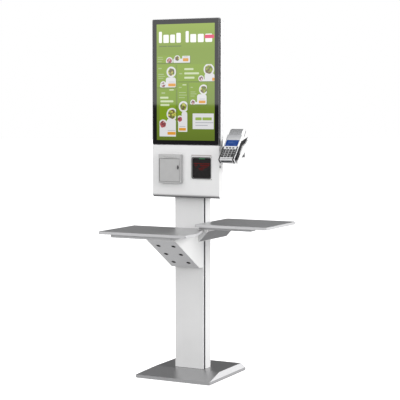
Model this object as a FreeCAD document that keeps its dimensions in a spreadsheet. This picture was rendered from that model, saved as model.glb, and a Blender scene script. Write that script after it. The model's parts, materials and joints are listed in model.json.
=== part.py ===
"""Self checkout kiosk: a floor-standing pedestal with a portrait touch display, a receipt printer,
a code scanner, a payment terminal on a swivelling stand and two bagging shelves.

Frame: millimetres, +Z up, the customer stands at -Y, origin at the centre of the base plate's underside.
The payment terminal is drawn in its own frame (X across, Y into its body, Z along its length) and leans back.
"""

import FreeCAD, Part
import math
import os
import re

import Sketcher

V = FreeCAD.Vector
doc = FreeCAD.newDocument("self_checkout_kiosk")
sheet = doc.addObject("Spreadsheet::Sheet", "dims")

# ---------------------------------------------------------------- driving dimensions
DIMENSIONS = {
    # base
    "base_size": 430, "base_edge": 17, "base_top": 36, "base_bevel": 28, "base_ramp": 165,
    "plate_size": 418, "plate_thick": 10, "anchor_span": 340, "anchor_radius": 6.5,
    "sheet_metal": 2, "foot_top": 18, "foot_width": 208, "foot_depth": 120, "cable_radius": 20,
    # column
    "column_width": 164, "column_front": -25, "column_back": 61, "column_top": 935, "column_wall": 3,
    "cover_depth": 7.7, "groove_wide": 12, "groove_deep": 6,
    # bolts
    "bolt_radius": 4, "bolt_play": 0.05, "bolt_head": 13, "bolt_head_high": 5.5,
    # shelves and their brackets
    "shelf_rim": 14, "shelf_corner": 10, "core_drop": 14.8, "shelf_gap": 0.4,
    "front_left": -330, "front_right": 171, "front_near": -395, "front_top": 775.5,
    "front_cut_near": -280, "front_cut_far": -87, "front_cut_right": 113,
    "front_core_left": -260, "side_left": 83, "side_right": 484, "side_near": -125,
    "side_far": 261, "side_top": 806, "side_core_right": 378, "side_rail_deep": 60,
    "bracket_low": 574, "bracket_step": -65, "bracket_reach": -333, "bracket_lip": 8,
    "bracket_wall": 3, "vent_radius": 9, "vent_across": 86, "vent_along": 96,
    "side_bracket_low": 711, "side_bracket_out": 140, "side_bracket_near": -81,
    "side_bracket_far": 247, "flange_wide": 28,
    # head
    "head_width": 387, "head_front": -66, "head_back": -21, "head_bottom": 936, "head_split": 1208,
    "head_lip": 20, "shell_top": 1843, "panel_top": 1857, "frame_back": -48, "frame_corner": 8,
    "glass_thick": 3, "frame_rim": 2.5, "active_wide": 336.3, "active_high": 597.9, "lcd_border": 7.5,
    "box_half": 150, "box_top": 1480, "door_half": 118.5, "door_bottom": 991.5, "door_top": 1438.5,
    "hinge_radius": 3, "pin_radius": 1.5, "pin_play": 0.06,
    # receipt printer
    "printer_left": -147.5, "printer_right": -17, "printer_front": -88, "printer_bottom": 1012,
    "printer_top": 1161, "sleeve_inset": 6.5, "bay_wall": 2.5, "bay_back": -12,
    "print_door_top": 1136.9, "print_door_gap": 1.5, "print_door_thick": 4.7, "frame_strip": 5.5,
    "slot_half": 40, "slot_low": 1141, "slot_high": 1146, "platen_radius": 6, "roll_radius": 28,
    "spindle_radius": 6.2, "roll_high": 1052, "roll_deep": -47, "latch_place": -32, "latch_high": 1094,
    # scanner
    "scan_left": 33.5, "scan_right": 149.3, "scan_bottom": 1034.3, "scan_top": 1148.4,
    "scan_corner": 11, "scan_recess": -58, "scan_back": -23.6,
    # side lock
    "lock_deep": -56, "lock_high": 1100, "barrel_radius": 6, "plug_radius": 4,
    # payment terminal and its stand
    "terminal_x": 262, "terminal_y": -125, "terminal_z": 1147, "terminal_tilt": 42,
    "terminal_width": 88, "terminal_long": 204, "skin": 6, "skin_round": 4, "back_low": 30, "back_mid": 28,
    "back_high": 52, "cap_long": 46, "cap_deep": 20, "end_cap": 8, "card_half": 31,
    "key_wide": 14, "key_tall": 9.8, "key_pitch": 17.6, "row_pitch": 13.6, "key_first": 14.5,
    "key_proud": 2, "key_play": 0.4, "screen_half": 35, "screen_low": 82, "screen_high": 122,
    "swivel_y": -30, "arm_top": 1122, "stand_wall": 3, "stand_half": 50, "stand_back": 32,
}
for row, (alias, value) in enumerate(DIMENSIONS.items(), start=1):
    sheet.set(f"A{row}", alias)
    sheet.set(f"B{row}", str(value))
    sheet.setAlias(f"B{row}", alias)
doc.recompute()


def on_sheet(expression):
    """The expression with every alias in it written as a reference to the sheet."""
    return re.sub(r"[a-z]\w*", lambda m: "dims." + m.group() if m.group() in DIMENSIONS else m.group(),
                  str(expression))


def number(expression):
    """The present value of an expression in the sheet's aliases."""
    return float(doc.getObject("dims").evalExpression(on_sheet(expression)))


def bind(obj, **properties):
    for name, expression in properties.items():
        obj.setExpression(name.replace("__", "."), on_sheet(expression))
    return obj


def place(obj, x, y, z):
    return bind(obj, Placement__Base__x=x, Placement__Base__y=y, Placement__Base__z=z)


# ---------------------------------------------------------------- shape helpers
names_used = {}


def fresh(stem):
    names_used[stem] = names_used.get(stem, 0) + 1
    return f"{stem}_{names_used[stem]}"


def box(x0, x1, y0, y1, z0, z1):
    obj = doc.addObject("Part::Box", fresh("block"))
    bind(obj, Length=f"({x1}) - ({x0})", Width=f"({y1}) - ({y0})", Height=f"({z1}) - ({z0})")
    return place(obj, x0, y0, z0)


TURNS = {"X": FreeCAD.Rotation(V(0, 1, 0), 90), "Y": FreeCAD.Rotation(V(1, 0, 0), -90),
         "Z": FreeCAD.Rotation()}


def rod(axis, x, y, z, radius, length):
    """A cylinder that starts at x, y, z and runs along +axis."""
    obj = doc.addObject("Part::Cylinder", fresh("rod"))
    obj.Placement = FreeCAD.Placement(V(), TURNS[axis])
    bind(obj, Radius=radius, Height=length)
    return place(obj, x, y, z)


def fuse(*parts):
    obj = doc.addObject("Part::MultiFuse", fresh("fusion"))
    obj.Shapes = list(parts)
    return obj


def cut(base, *tools):
    obj = doc.addObject("Part::Cut", fresh("cut"))
    obj.Base = base
    obj.Tool = tools[0] if len(tools) == 1 else fuse(*tools)
    return obj


def group(*parts):
    """Separate solids that share one node."""
    obj = doc.addObject("Part::Compound", fresh("group"))
    obj.Links = list(parts)
    return obj


PLANES = {"XY": "XY_Plane", "XZ": "XZ_Plane", "YZ": "YZ_Plane"}


def prism(plane, start, end, *loops):
    """A PartDesign body: closed outlines of (across, up) expressions, padded from start to end.

    The XZ plane's normal is -Y, so its start and end are measured along -Y.
    """
    body = doc.addObject("PartDesign::Body", fresh("body"))
    origin = [f for f in body.Origin.OriginFeatures if f.Role == PLANES[plane]][0]
    sketch = body.newObject("Sketcher::SketchObject", fresh("outline"))
    sketch.AttachmentSupport = [(origin, "")]
    sketch.MapMode = "FlatFace"
    bind(sketch, AttachmentOffset__Base__z=start)
    for loop in loops:
        first = sketch.GeometryCount
        corners = [V(number(a), number(b), 0) for a, b in loop]
        for i, corner in enumerate(corners):
            sketch.addGeometry(Part.LineSegment(corner, corners[(i + 1) % len(corners)]), False)
        for i in range(len(loop)):
            following = first + (i + 1) % len(loop)
            sketch.addConstraint(Sketcher.Constraint("Coincident", first + i, 2, following, 1))
        for i, (across, up) in enumerate(loop):
            for way, expression in (("X", across), ("Y", up)):
                constraint = Sketcher.Constraint("Distance" + way, -1, 1, first + i, 1, number(expression))
                index = sketch.addConstraint(constraint)
                label = f"{way.lower()}_of_{first + i}"
                sketch.renameConstraint(index, label)
                sketch.setExpression(f"Constraints.{label}", on_sheet(expression))
    pad = body.newObject("PartDesign::Pad", fresh("pad"))
    pad.Profile = sketch
    bind(pad, Length=f"({end}) - ({start})")
    body.Tip = pad
    sketch.Visibility = False
    return body


def rounded(base, radius, chosen):
    """Round the edges of base for which chosen(middle, direction) is true."""
    doc.recompute()
    size = number(radius)
    picked = []
    for index, edge in enumerate(base.Shape.Edges, start=1):
        if isinstance(edge.Curve, Part.Line):
            middle = (edge.Vertexes[0].Point + edge.Vertexes[-1].Point) * 0.5
            if chosen(middle, edge.Curve.Direction):
                picked.append((index, size, size))
    obj = doc.addObject("Part::Fillet", fresh("rounding"))
    obj.Base = base
    obj.Edges = picked
    return obj


def along(axis):
    """Edges that run along an axis."""
    return lambda middle, direction: abs(getattr(direction, axis)) > 0.999


def slab(x0, x1, y0, y1, z0, z1, axis, radius):
    """A block with its four edges along an axis rounded."""
    return rounded(box(x0, x1, y0, y1, z0, z1), radius, along(axis))


NODES = []


def node(name, obj):
    """Hand in a finished object as the kiosk's sub-part of that name."""
    obj.Label = name
    NODES.append(obj)
    return obj


# ---------------------------------------------------------------- bolts, all M8 hexagon heads
def bolt(axis, x, y, z, sign=1, length=16):
    """A hexagon bolt whose head sits on x, y, z and whose shank runs along sign * axis."""
    head = doc.addObject("Part::Prism", fresh("head"))
    head.Polygon = 6
    bind(head, Circumradius="bolt_head / 1.732", Height="bolt_head_high")
    shank = doc.addObject("Part::Cylinder", fresh("shank"))
    bind(shank, Radius="bolt_radius", Height=length + 0.5)
    shank.Placement.Base = V(0, 0, -length)
    whole = fuse(head, shank)
    facing = {"X": V(1, 0, 0), "Y": V(0, 1, 0), "Z": V(0, 0, 1)}[axis] * -sign
    whole.Placement = FreeCAD.Placement(V(), FreeCAD.Rotation(V(0, 0, 1), facing))
    return place(whole, x, y, z)


def bolt_hole(axis, x, y, z, length):
    return rod(axis, x, y, z, "bolt_radius + bolt_play", length)


FOOT_BOLTS = [(sx * 93, y) for sx in (-1, 1) for y in (-22, 58)]
HEAD_BOLTS = [(sx * 55, y) for sx in (-1, 1) for y in (5, 40)]
FRONT_BOLTS = [(sx * 50, z) for sx in (-1, 1) for z in (610, 700)]
SIDE_BOLTS = [(y, z) for y in (8, 48) for z in (735, 762)]


# ---------------------------------------------------------------- base
def anchor_holes():
    half = "anchor_span / 2"
    return [rod("Z", f"{sx} * {half}", f"{sy} * {half}", -1, "anchor_radius", "plate_thick + 2")
            for sx in (-1, 1) for sy in (-1, 1)]


plate = box("-plate_size / 2", "plate_size / 2", "-plate_size / 2", "plate_size / 2", 0, "plate_thick")
node("base_plate", cut(plate, rod("Z", 0, 32, -1, "cable_radius", "plate_thick + 2"), *anchor_holes(),
                       *[bolt_hole("Z", x, y, 1, "plate_thick + 2") for x, y in FOOT_BOLTS]))


def hip(inset, low, edge, top):
    """The cover's outer or inner form: a square block under a hip with no fall at the back."""
    half = f"(base_size / 2 - {inset})"
    block = box(f"-{half}", half, f"-{half}", half, low, edge)
    roof = doc.addObject("Part::Wedge", fresh("roof"))
    roof.Placement = FreeCAD.Placement(V(), FreeCAD.Rotation(V(1, 0, 0), 90))
    bind(roof, Xmin=f"-{half}", Xmax=half, Zmin=f"-{half}", Zmax=half, Ymin=edge, Ymax=top,
         X2min=f"-{half} + base_bevel", X2max=f"{half} - base_bevel",
         Z2min=f"-{half}", Z2max=f"{half} - base_ramp")
    return fuse(block, roof)


node("base_cover", cut(
    hip(0, 2, "base_edge", "base_top"), hip("sheet_metal", 1, "base_edge - 0.6", "base_top - sheet_metal"),
    box("-column_width / 2 - 0.5", "column_width / 2 + 0.5", "column_front - 0.5", "column_back + 0.5",
        20, 50)))

# ---------------------------------------------------------------- column
INNER = "column_width / 2 - groove_deep"
HALF = "column_width / 2"
TUBE_FRONT = "column_front + cover_depth + 0.3"
STEP = f"{TUBE_FRONT} + groove_wide"


def column_outline(inset):
    narrow, wide = f"{INNER} - {inset}", f"{HALF} - {inset}"
    near, step, far = f"{TUBE_FRONT} + {inset}", f"{STEP} + {inset}", f"column_back - {inset}"
    right = [(narrow, near), (narrow, step), (wide, step), (wide, far)]
    return right + [(f"-({x})", y) for x, y in reversed(right)]


tube = prism("XY", "foot_top - 0.5", "column_top", column_outline(0), column_outline("column_wall"))
foot = box("-foot_width / 2", "foot_width / 2", "18 - foot_depth / 2", "18 + foot_depth / 2",
           "plate_thick", "foot_top")
lid = box(f"1 - ({INNER})", f"{INNER} - 1", f"{TUBE_FRONT} + 1", "column_back - 1", "column_top - 9",
          "column_top")
column = fuse(tube, foot, lid)
node("column_body", cut(
    column, rod("Z", 0, 32, 5, "cable_radius", 20), rod("Z", 0, 22, "column_top - 15", 12, 20),
    box(-14.4, 14.4, "column_back - 5", "column_back + 5", 97.6, 122.4),
    *[bolt_hole("Z", x, y, 5, 20) for x, y in FOOT_BOLTS],
    *[bolt_hole("Z", x, y, "column_top - 15", 20) for x, y in HEAD_BOLTS],
    *[bolt_hole("Y", x, TUBE_FRONT + " - 5", z, 12) for x, z in FRONT_BOLTS],
    *[bolt_hole("X", "column_width / 2 - 8", y, z, 12) for y, z in SIDE_BOLTS]))

EDGE = "column_front + cover_depth"
node("column_front_cover", cut(
    prism("XY", "base_top + 1", "column_top - 1",
          [(f"-{HALF}", "column_front"), (HALF, "column_front"), (HALF, EDGE), (f"{HALF} - 2", EDGE),
           (f"{HALF} - 2", "column_front + 2"), (f"2 - {HALF}", "column_front + 2"), (f"2 - {HALF}", EDGE),
           (f"-{HALF}", EDGE)]),
    *[bolt_hole("Y", x, "column_front - 5", z, 20) for x, z in FRONT_BOLTS]))

# ---------------------------------------------------------------- shelf brackets
WALL_IN = "column_front - shelf_gap - bracket_wall"
FRONT_SEAT = "front_top - shelf_rim - core_drop - 0.2"
front_profile = [("column_front - shelf_gap", "bracket_low"), ("bracket_step", "bracket_low"),
                 ("bracket_reach", f"{FRONT_SEAT} - bracket_lip"), ("bracket_reach", FRONT_SEAT),
                 ("column_front - shelf_gap", FRONT_SEAT)]
node("front_bracket", cut(
    prism("YZ", f"-{HALF}", HALF, front_profile),
    box(f"bracket_wall - {HALF}", f"{HALF} - bracket_wall", "bracket_reach + bracket_wall", WALL_IN,
        "bracket_low - 9", f"{FRONT_SEAT} - bracket_wall"),
    *[bolt_hole("Y", x, "column_front - 8", z, 12) for x, z in FRONT_BOLTS]))

RISE = f"({FRONT_SEAT} - bracket_lip - bracket_low)"
slope_angle = math.degrees(math.atan2(number(RISE), number("bracket_step - bracket_reach")))
slope_long = math.hypot(number(RISE), number("bracket_step - bracket_reach"))


def vents():
    """Six round holes in two columns, square to the bracket cover's slope."""
    holes = []
    for across in (-0.5, 0.5):
        for along_slope in (-1, 0, 1):
            hole = doc.addObject("Part::Cylinder", fresh("vent"))
            hole.Placement = FreeCAD.Placement(V(), FreeCAD.Rotation(V(1, 0, 0), -slope_angle))
            bind(hole, Radius="vent_radius", Height=30)
            run = slope_long / 2 + along_slope * number("vent_along") - 2
            start_y = number("bracket_step") - run * math.cos(math.radians(slope_angle))
            start_z = number("bracket_low") + run * math.sin(math.radians(slope_angle))
            lean = math.radians(slope_angle)
            holes.append(place(hole, f"{across} * vent_across", start_y - 15 * math.sin(lean),
                               start_z - 15 * math.cos(lean)))
    return holes


cover_profile = [(f"{WALL_IN} - 0.4", "bracket_low"), ("bracket_step", "bracket_low"),
                 ("bracket_reach + bracket_wall + 0.4", f"{FRONT_SEAT} - bracket_lip - 2.3"),
                 ("bracket_reach + bracket_wall + 0.4", f"{FRONT_SEAT} - bracket_lip + 0.4"),
                 ("bracket_step + 0.8", "bracket_low + 2.5"), (f"{WALL_IN} - 0.4", "bracket_low + 2.5")]
node("front_bracket_cover", cut(
    prism("YZ", f"bracket_wall + 0.4 - {HALF}", f"{HALF} - bracket_wall - 0.4", cover_profile), *vents()))

SIDE_SEAT = "side_top - shelf_rim - core_drop - 0.2"
SIDE_IN = f"{HALF} + shelf_gap"
SIDE_EDGE = "side_bracket_out"
side_profile = [(SIDE_IN, "side_bracket_low"), (f"{SIDE_IN} + 2", "side_bracket_low"),
                (SIDE_EDGE, f"{SIDE_SEAT} - 7"), (SIDE_EDGE, SIDE_SEAT), (SIDE_IN, SIDE_SEAT)]
hollow_end = [(f"{SIDE_IN} + bracket_wall", "side_bracket_low + flange_wide + 3"),
              (f"{SIDE_EDGE} - flange_wide - 2", f"{SIDE_SEAT} - bracket_wall"),
              (f"{SIDE_IN} + bracket_wall", f"{SIDE_SEAT} - bracket_wall")]
hollow_run = [(f"{SIDE_IN} + bracket_wall", "side_bracket_low - 9"), (f"{SIDE_EDGE} - 2", "side_bracket_low - 9"),
              (f"{SIDE_EDGE} - 2", f"{SIDE_SEAT} - bracket_wall"),
              (f"{SIDE_IN} + bracket_wall", f"{SIDE_SEAT} - bracket_wall")]
node("side_bracket", cut(
    prism("XZ", "-side_bracket_far", "-side_bracket_near", side_profile),
    prism("XZ", "-side_bracket_far - 1", "1 - side_bracket_near", hollow_end),
    prism("XZ", "2 - side_bracket_far", "-side_bracket_near - 2", hollow_run),
    *[bolt_hole("X", f"{SIDE_IN} - 2", y, z, 8) for y, z in SIDE_BOLTS]))
node("side_bracket_cover", prism(
    "XZ", "2.4 - side_bracket_far", "-side_bracket_near - 2.4",
    [(f"{SIDE_IN} + bracket_wall + 0.4", "side_bracket_low + 2.2"),
     (f"{SIDE_EDGE} - 2.4", f"{SIDE_SEAT} - 8.6"), (f"{SIDE_EDGE} - 2.4", f"{SIDE_SEAT} - 5.9"),
     (f"{SIDE_IN} + bracket_wall + 0.4", "side_bracket_low + 5")]))


# ---------------------------------------------------------------- shelves
def front_outline(inset):
    """The front shelf in plan: its rear right corner is cut back past the side bracket."""
    rear = f"column_front - shelf_gap - {inset}"
    return [(f"front_left + {inset}", f"front_near + {inset}"),
            (f"front_right - {inset}", f"front_near + {inset}"),
            (f"front_right - {inset}", f"front_cut_near - {inset} * 0.3"),
            (f"front_cut_right - {inset}", f"front_cut_far - {inset}"),
            (f"{HALF} - 1 - {inset}", f"front_cut_far - {inset}"), (f"{HALF} - 1 - {inset}", rear),
            (f"front_left + {inset}", rear)]


def near_corners(middle, direction):
    outer = abs(middle.x - number("front_left")) < 1 or abs(middle.x - number("front_right")) < 1
    return abs(direction.z) > 0.999 and outer and middle.y < number("front_cut_near") - 20


front_skin = rounded(prism("XY", "front_top - shelf_rim", "front_top", front_outline(0)),
                     "shelf_corner", near_corners)
node("front_shelf_plate", cut(
    front_skin, prism("XY", "front_top - shelf_rim - 1", "front_top - sheet_metal",
                      front_outline("sheet_metal"))))
node("front_shelf_core", fuse(
    prism("XY", "front_top - shelf_rim - 0.2", "front_top - sheet_metal - 0.1",
          front_outline("(sheet_metal + 8)")),
    box("front_core_left", f"{HALF} - 2", "front_near + 10", "column_front - 3",
        "front_top - shelf_rim - core_drop", "front_top - shelf_rim - 0.1")))

side_skin = slab("side_left", "side_right", "side_near", "side_far", "side_top - shelf_rim", "side_top",
                 "z", "shelf_corner")
node("side_shelf_plate", cut(side_skin, box(
    "side_left + sheet_metal", "side_right - sheet_metal", "side_near + sheet_metal",
    "side_far - sheet_metal", "side_top - shelf_rim - 1", "side_top - sheet_metal")))
node("side_shelf_core", fuse(
    box("side_left + 10", "side_right - 10", "side_near + 10", "side_far - 10",
        "side_top - shelf_rim - 0.2", "side_top - sheet_metal - 0.1"),
    box("side_left + 3", "side_bracket_out + 4", "side_bracket_near", "side_bracket_far",
        "side_top - shelf_rim - core_drop", "side_top - shelf_rim - 0.1"),
    box("side_left + 3", "side_core_right", "side_bracket_near", "side_bracket_near + side_rail_deep",
        "side_top - shelf_rim - core_drop", "side_top - shelf_rim - 0.1")))

# ---------------------------------------------------------------- head: lower tray, rear shell, service box
WIDE = "head_width / 2"


def front_low_edge(middle, direction):
    return (abs(direction.x) > 0.999 and abs(middle.y - number("head_front")) < 3.5
            and middle.z < number("head_bottom") + 4)


tray_outer = rounded(box(f"-{WIDE}", WIDE, "head_front", "head_back", "head_bottom", "head_split - 0.4"),
                     "head_lip", front_low_edge)
tray_inner = rounded(box(f"2 - {WIDE}", f"{WIDE} - 2", "head_front + 2", "head_back + 1",
                         "head_bottom + 2", "head_split + 1"), "head_lip - 2", front_low_edge)
SLEEVE_LEFT, SLEEVE_RIGHT = "printer_left + sleeve_inset", "printer_right - sleeve_inset - 0.5"
SLEEVE_LOW, SLEEVE_HIGH = "printer_bottom + sleeve_inset", "printer_top - sleeve_inset"
node("lower_front_tray", cut(
    tray_outer, tray_inner,
    box(f"{SLEEVE_LEFT} - 0.5", f"{SLEEVE_RIGHT} + 0.5", -80, -50, f"{SLEEVE_LOW} - 0.5",
        f"{SLEEVE_HIGH} + 0.5"),
    box("scan_left - 2.5", "scan_right + 2.5", -80, -50, "scan_bottom - 2.5", "scan_top + 2.5"),
    rod("X", 180, "lock_deep", "lock_high", "barrel_radius + bolt_play", 30)))

shell = cut(box(f"-{WIDE}", WIDE, "frame_back + 0.3", "head_back", "head_split", "shell_top"),
            box(f"2 - {WIDE}", f"{WIDE} - 2", "frame_back - 1", "head_back - 2", "head_split + 2",
                "shell_top - 2"))
low_back = box(f"2.4 - {WIDE}", f"{WIDE} - 2.4", "head_back - 2.2", "head_back - 0.2",
               "head_bottom + 2.4", "head_split + 1")
node("head_rear_shell", cut(fuse(shell, low_back),
                            box(-145, -20, -30, -10, 1012, 1161)))


def louvres(x):
    return [box(x, f"{x} + 8", -5 + 12 * i, f"{-5 + 12 * i} + 5", 1300, 1420) for i in range(5)]


HINGE_X, HINGE_Y = "-door_half - 3.5", "column_back + hinge_radius + 0.4"
KNUCKLES = [(1040, 1060), (1380, 1400)]


def hinge_eye(x, y, low, high, leaf_to):
    """A hinge knuckle with its leaf; the bore is cut later."""
    return [rod("Z", x, y, low, "hinge_radius", f"{high} - {low}"),
            box(f"min({x}; {leaf_to})", f"max({x}; {leaf_to})", f"{y} - hinge_radius", f"{y} - 1.6", low,
                high)]


def hinge_bore(low, high):
    return rod("Z", HINGE_X, HINGE_Y, low, "pin_radius + pin_play", f"{high} - {low}")


case = cut(box("-box_half", "box_half", "head_back + 0.2", "column_back", "head_bottom + 0.2", "box_top"),
           box("2 - box_half", "box_half - 2", "head_back - 1", "column_back - 2", "head_bottom + 4",
               "box_top - 2"),
           box("-door_half - 1.2", "door_half + 1.2", "column_back - 5", "column_back + 1",
               "door_bottom - 1.2", "door_top + 1.2"),
           *louvres(-154), *louvres(146),
           rod("Z", 0, 22, "head_bottom - 3", 12, 10),
           *[bolt_hole("Z", x, y, "head_bottom - 3", 12) for x, y in HEAD_BOLTS])
eyes = []
for low, high in KNUCKLES:
    for z0, z1 in ((low - 20, low - 0.4), (high + 0.4, high + 20)):
        eyes += hinge_eye(HINGE_X, HINGE_Y, z0, z1, f"{HINGE_X} - 12")
        eyes.append(box(f"{HINGE_X} - 12", HINGE_X, "column_back - 0.5", f"{HINGE_Y} - 1.6", z0, z1))
node("service_box", cut(fuse(case, *eyes), *[hinge_bore(low - 21, high + 21) for low, high in KNUCKLES]))

door_sheet = box("-door_half", "door_half", "column_back - 2", "column_back", "door_bottom", "door_top")
door_rims = cut(box("-door_half", "door_half", "column_back - 12", "column_back - 1.9", "door_bottom",
                    "door_top"),
                box("2 - door_half", "door_half - 2", "column_back - 13", "column_back", "door_bottom + 2",
                    "door_top - 2"))
door_eyes = []
for low, high in KNUCKLES:
    door_eyes += hinge_eye(HINGE_X, HINGE_Y, low, high, f"{HINGE_X} + 16")
    door_eyes.append(box("-door_half + 2", f"{HINGE_X} + 16", "column_back - 1", f"{HINGE_Y} - 1.6", low,
                         high))
node("rear_door", cut(fuse(door_sheet, door_rims, *door_eyes),
                      *[hinge_bore(low - 1, high + 1) for low, high in KNUCKLES]))

node("mini_computer", cut(
    slab(-120, 40, "head_back + 0.6", 17, 1230, 1390, "y", 6),
    *[box(-100 + 14 * i, -94 + 14 * i, 14, 18, 1250, 1370) for i in range(9)]))
node("power_supply", cut(
    slab(62, 128, "head_back + 0.6", 21, 1225, 1385, "y", 4),
    *[box(70, 120, 18, 22, 1240 + 12 * i, 1244 + 12 * i) for i in range(11)]))

# ---------------------------------------------------------------- display
RIM = "frame_rim"
frame_block = slab(f"-{WIDE}", WIDE, "head_front", "frame_back", "head_split + 0.2", "panel_top", "y",
                   "frame_corner")
glass_seat = slab(f"{RIM} - {WIDE}", f"{WIDE} - {RIM}", "head_front - 1", "head_front + glass_thick + 0.2",
                  "head_split + 2.7", f"panel_top - {RIM}", "y", "frame_corner - 2")
LCD_HALF = "active_wide / 2 + lcd_border"
LCD_LOW = "(head_split + panel_top - active_high) / 2 - lcd_border"
LCD_HIGH = "(head_split + panel_top + active_high) / 2 + lcd_border"
node("display_frame", cut(frame_block, glass_seat, box(
    f"-({LCD_HALF}) - 0.4", f"{LCD_HALF} + 0.4", -64, -40, f"{LCD_LOW} - 0.4", f"{LCD_HIGH} + 0.4")))
node("touch_glass", slab(f"{RIM} + 0.2 - {WIDE}", f"{WIDE} - {RIM} - 0.2", "head_front",
                         "head_front + glass_thick", "head_split + 2.9", f"panel_top - {RIM} - 0.2", "y",
                         "frame_corner - 2.2"))
node("lcd_module", box(f"-({LCD_HALF})", LCD_HALF, "head_front + glass_thick + 0.3", "frame_back - 1.5",
                       LCD_LOW, LCD_HIGH))

# ---------------------------------------------------------------- receipt printer
BAY = [f"{SLEEVE_LEFT} + bay_wall", f"{SLEEVE_RIGHT} - bay_wall"]
BAY_LOW, BAY_HIGH = f"{SLEEVE_LOW} + bay_wall", f"{SLEEVE_HIGH} - bay_wall"
DOOR_LEFT, DOOR_RIGHT = "printer_left + frame_strip", "printer_right - frame_strip + 0.5"
DOOR_LOW = "printer_bottom + frame_strip + 1"
PIN_X, PIN_Y = f"{DOOR_LEFT} + 4", "printer_front + print_door_thick / 2"
MOUTH = ["slot_half", "(printer_left + printer_right) / 2"]
hood = rounded(box("printer_left", "printer_right", "printer_front", "head_front - 0.3", "printer_bottom",
                   "printer_top"), 2.5,
               lambda middle, direction: middle.y < number("head_front") - 1)
sleeve = box(SLEEVE_LEFT, SLEEVE_RIGHT, "head_front - 5", "bay_back", SLEEVE_LOW, SLEEVE_HIGH)
spindle = rod("X", f"{BAY[0]} - 1", "roll_deep", "roll_high", "spindle_radius",
              f"({BAY[1]}) - ({BAY[0]}) + 2")
bezel = cut(
    fuse(hood, sleeve),
    box(BAY[0], BAY[1], "printer_front + print_door_thick", "bay_back - bay_wall", BAY_LOW, BAY_HIGH),
    box(DOOR_LEFT, DOOR_RIGHT, "printer_front - 1", "printer_front + print_door_thick + 0.5", DOOR_LOW,
        "print_door_top + print_door_gap"),
    box(f"{MOUTH[1]} - {MOUTH[0]}", f"{MOUTH[1]} + {MOUTH[0]}", "printer_front - 1",
        "printer_front + print_door_thick + 1", "slot_low", "slot_high"),
    box(-28, -19.8, "printer_front + 4.9", -79.2, "latch_high - 13", "latch_high + 8"),
    *[rod("Z", PIN_X, PIN_Y, z, "pin_radius + pin_play", 6) for z in ("print_door_top - 1",
                                                                      f"{DOOR_LOW} - 4")])
node("printer_bezel", fuse(bezel, spindle))

door_plate = box(PIN_X, f"{DOOR_RIGHT} - print_door_gap", "printer_front",
                 "printer_front + print_door_thick", f"{DOOR_LOW} + print_door_gap", "print_door_top")
DOOR_TALL = f"print_door_top - ({DOOR_LOW}) - print_door_gap"
node("printer_door", cut(
    fuse(door_plate, rod("Z", PIN_X, PIN_Y, f"{DOOR_LOW} + print_door_gap", "print_door_thick / 2",
                         DOOR_TALL)),
    rod("Z", PIN_X, PIN_Y, "print_door_top - 6", "pin_radius + pin_play", 8),
    rod("Z", PIN_X, PIN_Y, f"{DOOR_LOW} - 1", "pin_radius + pin_play", 8),
    rod("Y", "latch_place", "printer_front - 1", "latch_high", 4.06, 10)))
node("printer_latch", fuse(
    rod("Y", "latch_place", "printer_front - 1.5", "latch_high", 5.5, 1.1),
    rod("Y", "latch_place", "printer_front - 1", "latch_high", 4, "print_door_thick + 2"),
    slab("latch_place - 3.6", "latch_place + 3.6", "printer_front - 4.4", "printer_front - 1.4",
         "latch_high - 10.5", "latch_high + 10.5", "y", 3.5),
    box("latch_place - 4", "latch_place + 4", "printer_front + print_door_thick + 0.6",
        "printer_front + print_door_thick + 3.4", "latch_high - 10.5", "latch_high + 4")))

PLATEN_Y, PLATEN_Z = -70, 1126
head_block = box(f"{BAY[0]} + 3", f"{BAY[1]} - 3", -58, -18, 1102, BAY_HIGH)
cheeks = [box(f"{BAY[0]} + 3", f"{BAY[0]} + 7", -78, -57, 1116, 1137),
          box(f"{BAY[1]} - 7", f"{BAY[1]} - 3", -78, -57, 1116, 1137)]
node("printer_mechanism", cut(fuse(head_block, *cheeks), rod("X", BAY[0], PLATEN_Y, PLATEN_Z, 3.05, 120)))
node("printer_platen", fuse(
    rod("X", f"{BAY[0]} + 8", PLATEN_Y, PLATEN_Z, "platen_radius", f"({BAY[1]}) - ({BAY[0]}) - 16"),
    rod("X", f"{BAY[0]} + 1", PLATEN_Y, PLATEN_Z, 3, f"({BAY[1]}) - ({BAY[0]}) - 2")))
node("paper_roll", cut(
    rod("X", f"{MOUTH[1]} - slot_half + 0.5", "roll_deep", "roll_high", "roll_radius", "2 * slot_half - 1"),
    rod("X", BAY[0], "roll_deep", "roll_high", "spindle_radius + bolt_play", 120)))

# ---------------------------------------------------------------- code scanner
ring = fuse(slab("scan_left - 4", "scan_right + 4", "head_front - 1.6", "head_front - 0.3",
                 "scan_bottom - 4", "scan_top + 4", "y", "scan_corner + 4"),
            slab("scan_left - 2", "scan_right + 2", "head_front - 1", "scan_recess + 3.4", "scan_bottom - 2",
                 "scan_top + 2", "y", "scan_corner + 2"))
node("scanner_bezel", cut(ring, slab("scan_left", "scan_right", -80, -40, "scan_bottom", "scan_top", "y",
                                     "scan_corner")))
node("scanner_window", slab("scan_left + 0.3", "scan_right - 0.3", "scan_recess", "scan_recess + 3",
                            "scan_bottom + 0.3", "scan_top - 0.3", "y", "scan_corner - 0.3"))
node("scanner_housing", cut(
    slab("scan_left - 3.5", "scan_right + 3.5", "scan_recess + 3.7", "scan_back", "scan_bottom - 3.5",
         "scan_top + 3.5", "y", 6),
    slab("scan_left - 1.5", "scan_right + 1.5", "scan_recess", "scan_back - 2", "scan_bottom - 1.5",
         "scan_top + 1.5", "y", 4)))
SCAN_X, SCAN_Z = "(scan_left + scan_right) / 2", "(scan_bottom + scan_top) / 2"
node("scanner_engine", fuse(
    box(f"{SCAN_X} - 22", f"{SCAN_X} + 22", -38, "scan_back - 2", f"{SCAN_Z} - 16", f"{SCAN_Z} + 16"),
    rod("Y", SCAN_X, -46, SCAN_Z, 9, 9)))

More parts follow.
